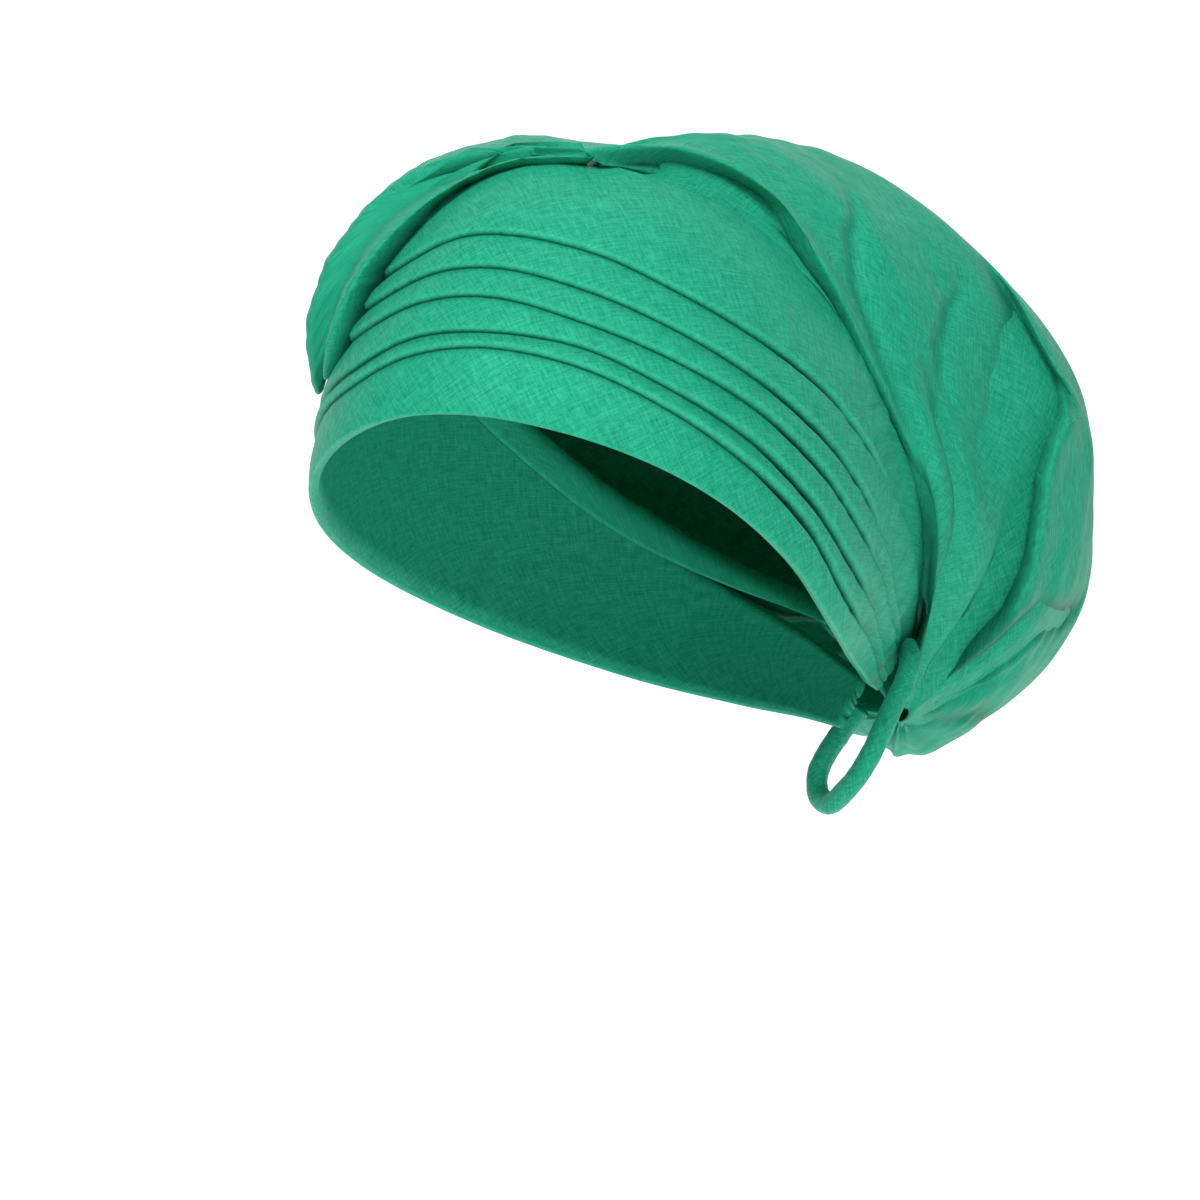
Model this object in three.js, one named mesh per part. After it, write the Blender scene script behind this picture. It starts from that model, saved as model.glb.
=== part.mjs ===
// A turban headwrap of green silk: a pleated band, a slouchy crown bag and a rouleau loop.
// Millimetres, +Z up. The wearer looks along -Y, and +X is the wearer's left.
// The origin is the middle of the head that the wrap is worn on.
import * as THREE from "three";

// The head, as the half sizes of an ellipsoid: 56 cm round at its widest.
const HEAD = { halfWidth: 80.5, halfLength: 97.5, halfHeight: 124 };

// Thickness of the cloth as built, with its turnings, and the gap between two cloths.
const BAND_WALL = 1.5;
const CROWN_WALL = 1.2;
const CLOTH_GAP = 1.1;

// How far the lower edge of each pleat stands out over the one below it.
const PLEAT_STEP = 1.2;
// Half the width of the crease between two pleats, as a share of the band's width.
const CREASE = 0.012;

// The loop is a tube of the same silk.
const LOOP_DIAMETER = 7.5;
const LOOP_SIDES = 10;
const LOOP_STEPS = 44;

// Sections across each cloth.
const BAND_SECTIONS = 58;
const CROWN_GORES = 42;
const CROWN_STEPS = 24;

const SILK_GREEN = 0x2e9b78;

// Where the crown's cloth is drawn together: the crossing on top and the gather behind the left ear.
const CROSSING = new THREE.Vector3(12, -16, 127.5);
const GATHER = new THREE.Vector3(65, 94, -57);
// The share of a gore's first stretch that is drawn into its gather.
const DRAWN_IN = 0.06;
// Where the crown's edge lies: tucked inside the band's top edge, and just past that edge.
const TUCKED = -7;
const TUCK_DROP = 0.8;
const PAST_EDGE = 7;
// Where its cloth rolls over the band's edge on the left.
const LEFT_FOLD = { past: 1, lift: 4.5 };
// On the right it hangs over the band in two folds, and turns back up over the band's top edge.
const RIGHT_FOLDS = [
  { name: "outer fold", past: -20, lift: 18 },
  { name: "lower fold", past: -30, lift: 12 },
  { name: "groove", past: -27, lift: 5.5 },
  { name: "turn", past: 11, lift: 3 },
];
// The share of their run in which those folds fan out from the crossing.
const FAN_OUT = 0.2;
// The share of its run that the crown's edge follows the band, before it turns to the gather.
const EDGE_REACH = 0.86;
// How far that turn bows out behind the band's end, how far past the band's top edge it starts,
// and where the right edge leaves the band.
const EDGE_BOW = 6;
const EDGE_CLEAR = 8;
const RIGHT_LEAVES_AT = 0.955;

// Sections of the band, from the gather round the left ear, the brow, the right side and the nape,
// and back to the gather. Angles in degrees: "at" goes round the head from the middle of the brow,
// and "height" is the latitude. "off" is the stand-off from the head. one..five are the pleat
// lines, as shares of the band's width from the hem up.
const BAND_COLUMNS = [
  "hemAt", "hemHeight", "hemOff", "topAt", "topHeight", "topOff",
  "one", "two", "three", "four", "five",
];
const BAND_ROWS = [
  [142, -19.5, 21.0, 140, -11.0, 27.0, 0.08, 0.18, 0.36, 0.45, 0.80],
  [134, -18.5, 13.0, 134, -2.0, 25.0, 0.08, 0.18, 0.36, 0.46, 0.80],
  [120, -15.4, 4.5, 127, 8.0, 21.0, 0.11, 0.21, 0.36, 0.46, 0.76],
  [106, -12.2, 3.0, 119, 20.0, 15.0, 0.10, 0.21, 0.35, 0.47, 0.68],
  [92, -6.4, 3.0, 112, 35.0, 11.5, 0.086, 0.18, 0.305, 0.42, 0.58],
  [78, 2.4, 3.0, 107, 47.0, 8.5, 0.105, 0.172, 0.277, 0.373, 0.516],
  [62, 11.0, 3.0, 94, 58.5, 6.0, 0.127, 0.19, 0.28, 0.362, 0.489],
  [45, 17.6, 3.0, 69, 68.0, 5.0, 0.153, 0.207, 0.288, 0.378, 0.504],
  [27, 22.0, 3.0, 44, 74.5, 4.5, 0.179, 0.233, 0.304, 0.403, 0.537],
  [8, 24.2, 3.0, 12, 77.5, 4.5, 0.186, 0.231, 0.337, 0.435, 0.559],
  [-12, 23.4, 3.0, -14, 76.0, 4.5, 0.172, 0.226, 0.344, 0.443, 0.57],
  [-32, 19.2, 3.0, -38, 69.0, 4.5, 0.154, 0.211, 0.346, 0.442, 0.557],
  [-54, 12.0, 3.0, -60, 59.0, 4.5, 0.18, 0.25, 0.38, 0.48, 0.60],
  [-78, 2.5, 3.0, -80, 47.0, 4.5, 0.18, 0.25, 0.38, 0.48, 0.62],
  [-104, -7.0, 3.0, -102, 33.0, 5.0, 0.18, 0.25, 0.38, 0.48, 0.62],
  [-132, -16.0, 3.0, -128, 17.0, 6.0, 0.18, 0.25, 0.38, 0.48, 0.62],
  [-160, -22.5, 4.0, -154, 2.0, 8.0, 0.18, 0.25, 0.38, 0.48, 0.62],
  [-186, -25.5, 5.0, -180, -9.0, 11.0, 0.18, 0.25, 0.38, 0.48, 0.62],
  [-208, -26.0, 8.0, -205, -15.5, 12.0, 0.18, 0.25, 0.38, 0.48, 0.62],
  [-219, -26.0, 12.0, -218, -18.5, 15.5, 0.18, 0.25, 0.38, 0.48, 0.62],
];
// The place along the band, as a share of its length in sections, that lies under the crossing.
const CROSSING_AT = 0.49;
// Half the gap there between the crown's left and right edges, as a share of the same length.
const CROSSING_GAP = 0.001;

// Gores of the crown from the left side over the back to the right side. Each row is the run of
// one gore from the crossing to the gather, through four points.
const GORES = [
  { name: "ridge", run: [[34, 14, 128], [61, 35, 103], [79, 50, 59], [89, 72, 8]] },
  { name: "soft", run: [[36, 40, 131], [69, 60, 102], [86, 69, 55], [96, 80, 8]] },
  { name: "panel", run: [[36, 62, 130], [73, 86, 99], [94, 94, 45], [98, 99, -3]] },
  { name: "valley", run: [[38, 82, 128], [78, 114, 96], [103, 122, 48], [96, 109, 3]] },
  { name: "roll", run: [[38, 98, 123], [84, 142, 80], [109, 146, 34], [101, 123, -8]] },
  { name: "hook", run: [[34, 106, 121], [83, 157, 73], [105, 158, 14], [100, 130, -28]] },
  { name: "near edge", run: [[28, 112, 120], [77, 168, 67], [102, 166, -5], [89, 139, -45]] },
  { name: "far lobe", run: [[20, 114, 120], [60, 179, 63], [92, 182, -21], [66, 146, -68]] },
  { name: "back", run: [[8, 110, 120], [25, 184, 64], [45, 184, -34], [46, 138, -74]] },
  { name: "back right", run: [[-10, 95, 122], [-35, 165, 67], [-10, 175, -30], [30, 138, -68]] },
  { name: "right back", run: [[-30, 60, 125], [-84, 120, 69], [-60, 145, -15], [10, 132, -62]] },
  { name: "right", run: [[-50, 22, 127], [-101, 50, 74], [-90, 105, 0], [-10, 128, -55]] },
  { name: "contour", run: [[-56, -9, 122], [-97, 4, 78], [-94, 75, 5], [-20, 120, -49]] },
];

// The route of the loop's middle line: out of the gather, down, round and back up behind.
const LOOP_ROUTE = [
  [74.0, 81.0, -37.0], [73.5, 78.0, -43.0], [71.0, 74.0, -51.0], [68.0, 71.0, -60.0],
  [63.0, 70.0, -70.0], [56.0, 72.0, -78.0], [48.0, 77.0, -83.5], [41.0, 83.0, -82.0],
  [39.0, 87.0, -75.0], [42.5, 89.0, -67.0], [47.0, 91.0, -60.0], [51.5, 92.5, -54.0],
];

const cloth = new THREE.MeshStandardMaterial({ color: SILK_GREEN, roughness: 0.55, metalness: 0 });

// A smooth blend through the rows of a table, "share" of the way along it.
function alongRows(rows, share) {
  const place = THREE.MathUtils.clamp(share, 0, 1) * (rows.length - 1);
  const i = Math.min(Math.floor(place), rows.length - 2);
  const f = place - i;
  const a = rows[Math.max(i - 1, 0)];
  const b = rows[i];
  const c = rows[i + 1];
  const d = rows[Math.min(i + 2, rows.length - 1)];
  return b.map((value, k) => {
    const slope = (c[k] - a[k]) * f;
    const square = (2 * a[k] - 5 * value + 4 * c[k] - d[k]) * f ** 2;
    const cube = (3 * value - a[k] - 3 * c[k] + d[k]) * f ** 3;
    return 0.5 * (2 * value + slope + square + cube);
  });
}

// A point that stands "off" the head, at an angle round it and a latitude.
function overHead(at, height, off) {
  const a = THREE.MathUtils.degToRad(at);
  const h = THREE.MathUtils.degToRad(height);
  const unit = new THREE.Vector3(
    Math.sin(a) * Math.cos(h),
    -Math.cos(a) * Math.cos(h),
    Math.sin(h),
  );
  const half = new THREE.Vector3(HEAD.halfWidth, HEAD.halfLength, HEAD.halfHeight);
  const normal = unit.clone().divide(half).normalize();
  return unit.multiply(half).addScaledVector(normal, off);
}

// One section of the band as an object with the table's column names.
function bandSection(share) {
  const row = alongRows(BAND_ROWS, share);
  return Object.fromEntries(BAND_COLUMNS.map((name, k) => [name, row[k]]));
}

// A point of the band: "across" runs from the hem (0) to the top edge (1).
function bandPoint(section, across, lift) {
  const mix = (low, high) => low + (high - low) * across;
  const off = mix(section.hemOff, section.topOff) + lift;
  return overHead(
    mix(section.hemAt, section.topAt),
    mix(section.hemHeight, section.topHeight),
    off,
  );
}

// A closed wall between two grids of points, outer[i][j] and inner[i][j].
function wallBetween(outer, inner) {
  const rows = outer.length;
  const columns = outer[0].length;
  const positions = [];
  for (const grid of [outer, inner]) {
    for (const row of grid) {
      for (const point of row) {
        positions.push(point.x, point.y, point.z);
      }
    }
  }
  const out = (i, j) => i * columns + j;
  const back = (i, j) => rows * columns + i * columns + j;
  const faces = [];
  const quad = (a, b, c, d) => faces.push(a, c, b, a, d, c);
  for (let i = 0; i < rows - 1; i += 1) {
    for (let j = 0; j < columns - 1; j += 1) {
      quad(out(i, j), out(i + 1, j), out(i + 1, j + 1), out(i, j + 1));
      quad(back(i, j), back(i, j + 1), back(i + 1, j + 1), back(i + 1, j));
    }
  }
  const lastColumn = columns - 1;
  for (let i = 0; i < rows - 1; i += 1) {
    quad(out(i, 0), back(i, 0), back(i + 1, 0), out(i + 1, 0));
    quad(out(i + 1, lastColumn), back(i + 1, lastColumn), back(i, lastColumn), out(i, lastColumn));
  }
  const lastRow = rows - 1;
  for (let j = 0; j < columns - 1; j += 1) {
    quad(out(0, j + 1), back(0, j + 1), back(0, j), out(0, j));
    quad(out(lastRow, j), back(lastRow, j), back(lastRow, j + 1), out(lastRow, j + 1));
  }
  const geometry = new THREE.BufferGeometry();
  geometry.setAttribute("position", new THREE.Float32BufferAttribute(positions, 3));
  geometry.setIndex(faces);
  return geometry;
}

// The rows across the band: each pleat has a lower edge that stands out, a middle and an upper
// edge that sinks under the next pleat.
function pleatProfile(section) {
  const lines = [0, section.one, section.two, section.three, section.four, section.five, 1];
  const rows = [];
  for (let k = 0; k < lines.length - 1; k += 1) {
    const low = lines[k] + (k > 0 ? CREASE : 0);
    const high = lines[k + 1] - (k < lines.length - 2 ? CREASE : 0);
    rows.push({ across: low, lift: 0 });
    rows.push({ across: 0.6 * low + 0.4 * high, lift: 0 });
    rows.push({ across: high, lift: k < lines.length - 2 ? -PLEAT_STEP : 0 });
  }
  return rows;
}

function pleatedBand() {
  const outer = [];
  const inner = [];
  for (let i = 0; i <= BAND_SECTIONS; i += 1) {
    const section = bandSection(i / BAND_SECTIONS);
    const profile = pleatProfile(section);
    outer.push(profile.map((row) => bandPoint(section, row.across, row.lift)));
    inner.push(profile.map((row) => bandPoint(section, row.across, -PLEAT_STEP - BAND_WALL)));
  }
  return wallBetween(outer, inner);
}

// The crown's own edge follows the band's top edge to its end, and then runs to the gather.
function edgeRow(endShare, past, lift) {
  return Array.from({ length: CROWN_STEPS + 1 }, (_, j) => {
    const run = j / CROWN_STEPS;
    const start = CROSSING_AT + Math.sign(endShare - CROSSING_AT) * CROSSING_GAP;
    const share = start + (endShare - start) * Math.min(run / EDGE_REACH, 1);
    const section = bandSection(share);
    const width = bandPoint(section, 0, 0).distanceTo(bandPoint(section, 1, 0));
    const rise = THREE.MathUtils.smoothstep(run, 0.7 * EDGE_REACH, EDGE_REACH);
    const beyond = past + Math.max(0, EDGE_CLEAR - past) * rise;
    const point = bandPoint(section, 1 + beyond / width, lift);
    const turned = Math.max(0, (run - EDGE_REACH) / (1 - EDGE_REACH));
    point.lerp(GATHER, turned * (1 - DRAWN_IN));
    point.y += EDGE_BOW * Math.sin(Math.PI * Math.sqrt(turned));
    return point.toArray();
  });
}

// A fold that fans out from the crossing and then keeps to the band's top edge.
function foldRow({ past, lift }) {
  return edgeRow(RIGHT_LEAVES_AT, past, lift).map((place, j) => {
    const fan = THREE.MathUtils.smoothstep(j / CROWN_STEPS, 0, FAN_OUT);
    const drawn = THREE.MathUtils.lerp(DRAWN_IN, 1, fan);
    return CROSSING.clone().lerp(new THREE.Vector3(...place), drawn).toArray();
  });
}

// The run of one gore from the crossing to the gather.
function goreRow(run) {
  const first = CROSSING.clone().lerp(new THREE.Vector3(...run[0]), DRAWN_IN).toArray();
  const last = GATHER.clone().lerp(new THREE.Vector3(...run[3]), DRAWN_IN).toArray();
  const points = [first, ...run, last];
  return Array.from({ length: CROWN_STEPS + 1 }, (_, j) => alongRows(points, j / CROWN_STEPS));
}

function crownBag() {
  const under = -PLEAT_STEP - BAND_WALL - CLOTH_GAP;
  const rows = [
    edgeRow(0, TUCKED, under - TUCK_DROP),
    edgeRow(0, PAST_EDGE, under),
    edgeRow(0, LEFT_FOLD.past, LEFT_FOLD.lift),
    ...GORES.map(({ run }) => goreRow(run)),
    ...RIGHT_FOLDS.map(foldRow),
    edgeRow(RIGHT_LEAVES_AT, PAST_EDGE, under),
    edgeRow(RIGHT_LEAVES_AT, TUCKED, under - TUCK_DROP),
  ];
  const outer = [];
  for (let i = 0; i <= CROWN_GORES; i += 1) {
    const row = [];
    for (let j = 0; j <= CROWN_STEPS; j += 1) {
      const ring = rows.map((points) => points[j]);
      row.push(new THREE.Vector3(...alongRows(ring, i / CROWN_GORES)));
    }
    outer.push(row);
  }
  return wallBetween(outer, insetGrid(outer, CROWN_WALL));
}

// The same grid, moved in along its own normals.
function insetGrid(grid, depth) {
  const lastRow = grid.length - 1;
  const lastColumn = grid[0].length - 1;
  return grid.map((row, i) =>
    row.map((point, j) => {
      const down = grid[Math.min(i + 1, lastRow)][j].clone();
      down.sub(grid[Math.max(i - 1, 0)][j]);
      const along = row[Math.min(j + 1, lastColumn)].clone().sub(row[Math.max(j - 1, 0)]);
      const normal = along.cross(down).normalize();
      return point.clone().addScaledVector(normal, -depth);
    }),
  );
}

function loopTube() {
  const route = new THREE.CatmullRomCurve3(LOOP_ROUTE.map((point) => new THREE.Vector3(...point)));
  const section = new THREE.Shape();
  for (let k = 0; k < LOOP_SIDES; k += 1) {
    const turn = (2 * Math.PI * k) / LOOP_SIDES;
    const x = (LOOP_DIAMETER / 2) * Math.cos(turn);
    const y = (LOOP_DIAMETER / 2) * Math.sin(turn);
    if (k === 0) section.moveTo(x, y);
    else section.lineTo(x, y);
  }
  section.closePath();
  return new THREE.ExtrudeGeometry(section, { steps: LOOP_STEPS, extrudePath: route });
}

const group = new THREE.Group();
const pieces = [
  { name: "pleated_band", geometry: pleatedBand() },
  { name: "crown_bag", geometry: crownBag() },
  { name: "loop", geometry: loopTube() },
];
for (const { name, geometry } of pieces) {
  const mesh = new THREE.Mesh(geometry, cloth.clone());
  mesh.name = name;
  group.add(mesh);
}

export default group;
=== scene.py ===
# %% [markdown]
# # A turban headwrap of green silk
# This lesson builds a slouchy silk turban. It has three parts that a milliner would name: a pleated band
# round the head, a full crown that is gathered behind the left ear, and a rouleau loop at the gather.
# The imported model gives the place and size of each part, and every cell below adds looks to it.

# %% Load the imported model, which is the fixed frame for everything else
import math
import bpy
import numpy as np
from mathutils import Matrix, Vector


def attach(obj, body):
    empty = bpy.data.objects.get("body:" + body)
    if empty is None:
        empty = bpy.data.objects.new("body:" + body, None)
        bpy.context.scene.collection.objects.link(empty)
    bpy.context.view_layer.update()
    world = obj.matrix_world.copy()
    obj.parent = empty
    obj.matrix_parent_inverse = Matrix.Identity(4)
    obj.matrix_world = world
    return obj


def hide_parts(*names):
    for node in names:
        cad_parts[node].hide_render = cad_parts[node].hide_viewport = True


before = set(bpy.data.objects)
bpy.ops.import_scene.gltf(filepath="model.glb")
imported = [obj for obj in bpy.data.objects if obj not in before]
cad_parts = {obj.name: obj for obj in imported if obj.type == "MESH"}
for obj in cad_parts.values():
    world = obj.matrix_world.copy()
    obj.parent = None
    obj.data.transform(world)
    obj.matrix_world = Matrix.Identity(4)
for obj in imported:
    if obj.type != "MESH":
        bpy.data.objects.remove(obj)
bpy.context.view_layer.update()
MM = 0.001

# %% [markdown]
# ## The camera
# A portrait lens from a metre and a half keeps the wrap's proportions calm. The camera stands to the
# wearer's left of the brow and a little above it. It is placed from two angles, so that the view can be
# turned by changing one number.

# %% Camera
AZIMUTH = math.radians(28.0)
ELEVATION = math.radians(6.0)
DISTANCE = 1.5
AIM_RIGHT = 0.00406
AIM_UP = -0.0125
sin_a, cos_a = math.sin(AZIMUTH), math.cos(AZIMUTH)
sin_e, cos_e = math.sin(ELEVATION), math.cos(ELEVATION)
right = Vector((cos_a, sin_a, 0))
back = Vector((sin_a * cos_e, -cos_a * cos_e, sin_e))
up = back.cross(right)
camera_data = bpy.data.cameras.new("camera")
camera_data.sensor_width = 36
camera_data.lens = 144
camera = bpy.data.objects.new("camera", camera_data)
bpy.context.scene.collection.objects.link(camera)
turn = Matrix((right, up, back)).transposed().to_4x4()
aim = right * AIM_RIGHT + up * AIM_UP
camera.matrix_world = Matrix.Translation(aim + back * DISTANCE) @ turn
bpy.context.scene.camera = camera
print("camera at", tuple(round(x, 3) for x in camera.location))

# %% [markdown]
# ## Helpers for cloth
# A length of cloth can be described by a few rows of a table, with a smooth blend between them. A grid
# of points is then worked out for the whole length, and its faces join neighbouring points. This is
# how a pattern cutter works too: a few measured sections, joined by a curve.


# %% Blend between the rows of a table
def along_rows(rows, share):
    """Points at each share (0 to 1) of the way through evenly spaced rows, on a smooth curve."""
    rows = np.asarray(rows, float)
    place = np.clip(np.asarray(share, float), 0, 1) * (len(rows) - 1)
    i = np.minimum(place.astype(int), len(rows) - 2)
    f = (place - i).reshape(place.shape + (1,) * (rows.ndim - 1))
    a, b, c = rows[np.maximum(i - 1, 0)], rows[i], rows[i + 1]
    d = rows[np.minimum(i + 2, len(rows) - 1)]
    square = (2 * a - 5 * b + 4 * c - d) * f**2
    cube = (3 * b - a - 3 * c + d) * f**3
    return 0.5 * (2 * b + (c - a) * f + square + cube)


def smooth(x, low, high):
    """0 below low, 1 above high, and a smooth slope between them."""
    x = np.clip((np.asarray(x, float) - low) / (high - low), 0, 1)
    return x * x * (3 - 2 * x)


# %% Turn a grid of points into a shell of cloth
def grid_faces(count_i, count_j, start=0, flip=False):
    index = start + np.arange(count_i * count_j).reshape(count_i, count_j)
    faces = np.stack([index[:-1, :-1], index[1:, :-1], index[1:, 1:], index[:-1, 1:]], -1)
    faces = faces.reshape(-1, 4)
    return (faces[:, ::-1] if flip else faces).tolist()


def rim_faces(outer, inner, flip):
    """Faces that join a finely stepped edge to a coarser one."""
    ends = np.round(np.linspace(0, len(outer) - 1, len(inner))).astype(int)
    faces = []
    for k in range(len(inner) - 1):
        face = [*outer[ends[k] : ends[k + 1] + 1], inner[k + 1], inner[k]]
        faces.append(face[::-1] if flip else face)
    return faces


def shell(outer, inner):
    """One closed skin from a fine outer grid and a coarse inner one: points in mm, and faces."""
    ni, nj = outer.shape[:2]
    mi, mj = inner.shape[:2]
    out = np.arange(ni * nj).reshape(ni, nj)
    back_side = ni * nj + np.arange(mi * mj).reshape(mi, mj)
    faces = grid_faces(ni, nj) + grid_faces(mi, mj, ni * nj, True)
    faces += rim_faces(out[:, 0], back_side[:, 0], True)
    faces += rim_faces(out[:, -1], back_side[:, -1], False)
    faces += rim_faces(out[0], back_side[0], False)
    faces += rim_faces(out[-1], back_side[-1], True)
    points = np.concatenate([outer.reshape(-1, 3), inner.reshape(-1, 3)])
    return points, faces


# %% Make a mesh object that carries cloth coordinates and a painted light value
def cloth_object(name, points, faces, cloth, edge):
    """cloth holds each point's place on the cloth in metres, and edge its painted light: a painted
    highlight above zero, painted shade below zero.
    """
    mesh = bpy.data.meshes.new(name)
    mesh.from_pydata((np.asarray(points) * MM).tolist(), [], faces)
    mesh.validate()
    mesh.update()
    corners = np.zeros(len(mesh.loops), np.int32)
    mesh.loops.foreach_get("vertex_index", corners)
    uv = mesh.uv_layers.new(name="cloth")
    uv.data.foreach_set("uv", np.asarray(cloth, np.float32)[corners].ravel())
    attribute = mesh.attributes.new("edge", "FLOAT", "POINT")
    attribute.data.foreach_set("value", np.asarray(edge, np.float32))
    mesh.polygons.foreach_set("use_smooth", np.ones(len(mesh.polygons), bool))
    piece = bpy.data.objects.new(name, mesh)
    bpy.context.scene.collection.objects.link(piece)
    print(name, "has", len(mesh.vertices), "points and", len(mesh.polygons), "faces")
    return piece


def steps_along(points, axis):
    """Running length along one axis of a grid of points."""
    step = np.linalg.norm(np.diff(points, axis=axis), axis=-1)
    pad = [(0, 0), (0, 0)]
    pad[axis] = (1, 0)
    return np.pad(np.cumsum(step, axis=axis), pad)


def grid_normals(points):
    """Unit normals of a grid, pointing out of the wrap."""
    normal = np.cross(np.gradient(points, axis=0), np.gradient(points, axis=1))
    return normal / np.maximum(np.linalg.norm(normal, axis=-1, keepdims=True), 1e-9)


# %% [markdown]
# ## The pleated band
# The band is a length of silk folded into soft pleats and drawn tight round the head. On the real wrap
# each pleat laps over the next, so its lower fold is a crisp roll with a dark line under it, and its
# upper side sinks away softly. Modelling it as one sheet, with the rolls pushed out and the lines
# pushed in, keeps every pleat the same length as its neighbours, as in cloth.

# %% The head that the band goes round, and the band's sections
HEAD = np.array([80.5, 97.5, 124.0])
BAND_COLUMNS = [
    "hem_at", "hem_height", "hem_off", "top_at", "top_height", "top_off",
    "one", "two", "three", "four", "five",
]
BAND_ROWS = np.array([
    [142, -19.5, 21.0, 140, -11.0, 27.0, 0.08, 0.18, 0.36, 0.45, 0.80],
    [134, -18.5, 13.0, 134, -2.0, 25.0, 0.08, 0.18, 0.36, 0.46, 0.80],
    [120, -15.4, 4.5, 127, 8.0, 21.0, 0.11, 0.21, 0.36, 0.46, 0.76],
    [106, -12.2, 3.0, 119, 20.0, 15.0, 0.10, 0.21, 0.35, 0.47, 0.68],
    [92, -6.4, 3.0, 112, 35.0, 11.5, 0.086, 0.18, 0.305, 0.42, 0.58],
    [78, 2.4, 3.0, 107, 47.0, 8.5, 0.105, 0.172, 0.277, 0.373, 0.516],
    [62, 11.0, 3.0, 94, 58.5, 6.0, 0.127, 0.19, 0.28, 0.362, 0.489],
    [45, 17.6, 3.0, 69, 68.0, 5.0, 0.153, 0.207, 0.288, 0.378, 0.504],
    [27, 22.0, 3.0, 44, 74.5, 4.5, 0.179, 0.233, 0.304, 0.403, 0.537],
    [8, 24.2, 3.0, 12, 77.5, 4.5, 0.186, 0.231, 0.337, 0.435, 0.559],
    [-12, 23.4, 3.0, -14, 76.0, 4.5, 0.172, 0.226, 0.344, 0.443, 0.570],
    [-32, 19.2, 3.0, -38, 69.0, 4.5, 0.154, 0.211, 0.346, 0.442, 0.557],
    [-54, 12.0, 3.0, -60, 59.0, 4.5, 0.18, 0.25, 0.38, 0.48, 0.60],
    [-78, 2.5, 3.0, -80, 47.0, 4.5, 0.18, 0.25, 0.38, 0.48, 0.62],
    [-104, -7.0, 3.0, -102, 33.0, 5.0, 0.18, 0.25, 0.38, 0.48, 0.62],
    [-132, -16.0, 3.0, -128, 17.0, 6.0, 0.18, 0.25, 0.38, 0.48, 0.62],
    [-160, -22.5, 4.0, -154, 2.0, 8.0, 0.18, 0.25, 0.38, 0.48, 0.62],
    [-186, -25.5, 5.0, -180, -9.0, 11.0, 0.18, 0.25, 0.38, 0.48, 0.62],
    [-208, -26.0, 8.0, -205, -15.5, 12.0, 0.18, 0.25, 0.38, 0.48, 0.62],
    [-219, -26.0, 12.0, -218, -18.5, 15.5, 0.18, 0.25, 0.38, 0.48, 0.62],
])


def over_head(at, height, off):
    """A point that stands off the head, at an angle round it and a latitude, in mm."""
    a, h = np.radians(at), np.radians(height)
    unit = np.stack([np.sin(a) * np.cos(h), -np.cos(a) * np.cos(h), np.sin(h)], -1)
    normal = unit / HEAD
    normal /= np.linalg.norm(normal, axis=-1, keepdims=True)
    return unit * HEAD + normal * np.asarray(off)[..., None]


def band_section(share):
    return dict(zip(BAND_COLUMNS, np.moveaxis(along_rows(BAND_ROWS, share), -1, 0)))


def band_point(share, across, lift):
    """A point of the band: across runs from the hem (0) to the top edge (1)."""
    s = band_section(share)
    at = s["hem_at"] + (s["top_at"] - s["hem_at"]) * across
    height = s["hem_height"] + (s["top_height"] - s["hem_height"]) * across
    off = s["hem_off"] + (s["top_off"] - s["hem_off"]) * across
    return over_head(at, height, off + lift)


print("brow hem at", band_point(np.array([0.47]), 0, 0).round(1))

# %% [markdown]
# ### The pleats' shape across the band
# Each pleat is one strip between two lines. The pleat on top ends in a rolled fold that hangs over the
# line, so a real gap and a real shadow lie under it. The pleat below sinks away under that roll. Round
# the brow the upper pleat is on top. Behind the left ear the band twists into the gather, and there
# the lower pleat is on top. A height map can't overhang, so each row has a place across and a height.

# %% The roll, the soft side and the rows of one strip
BAND_STEPS = 500
STRIP_STEPS = [9, 3, 6, 6, 7, 17]
TURN_STEPS = 7
GROOVE, ROLL = 2.4, 1.5
TUCK_UNDER, OVERHANG = 0.9, 1.7
SOFT_REACH, SOFT_SIDE = 3.0, 1.2
FULL_SIZE_WIDTH = 5.0
PUFF = 0.5
HEM_RADIUS, HEM_STEPS = 0.75, 5
INNER_LIFT = -3.1
PLEAT_FULLNESS = 1.04
TURN_APART = 1.25
TWIST = [0.13, 0.20, 0.25, 0.33]

share = np.linspace(0, 1, BAND_STEPS + 1)[:, None]
section = band_section(share[:, 0])
band_width = np.linalg.norm(
    band_point(share[:, 0], 1.0, 0.0) - band_point(share[:, 0], 0.0, 0.0), axis=-1
)[:, None] * PLEAT_FULLNESS
lines = [0 * share, *(section[n][:, None] for n in ("one", "two", "three", "four", "five")), 1 + 0 * share]
widths = [(high - low) * band_width for low, high in zip(lines, lines[1:])]
drawn_deep = 1 + 0.35 * smooth(share, 0.10, 0.16) * (1 - smooth(share, 0.30, 0.38))
sizes = [
    np.minimum(1, np.minimum(low, high) / FULL_SIZE_WIDTH) * drawn_deep
    for low, high in zip(widths, widths[1:])
]
upper_rolls = smooth(share, TWIST[0], TWIST[1])
lower_rolls = 1 - smooth(share, TWIST[2], TWIST[3])
both_roll = upper_rolls * lower_rolls


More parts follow.
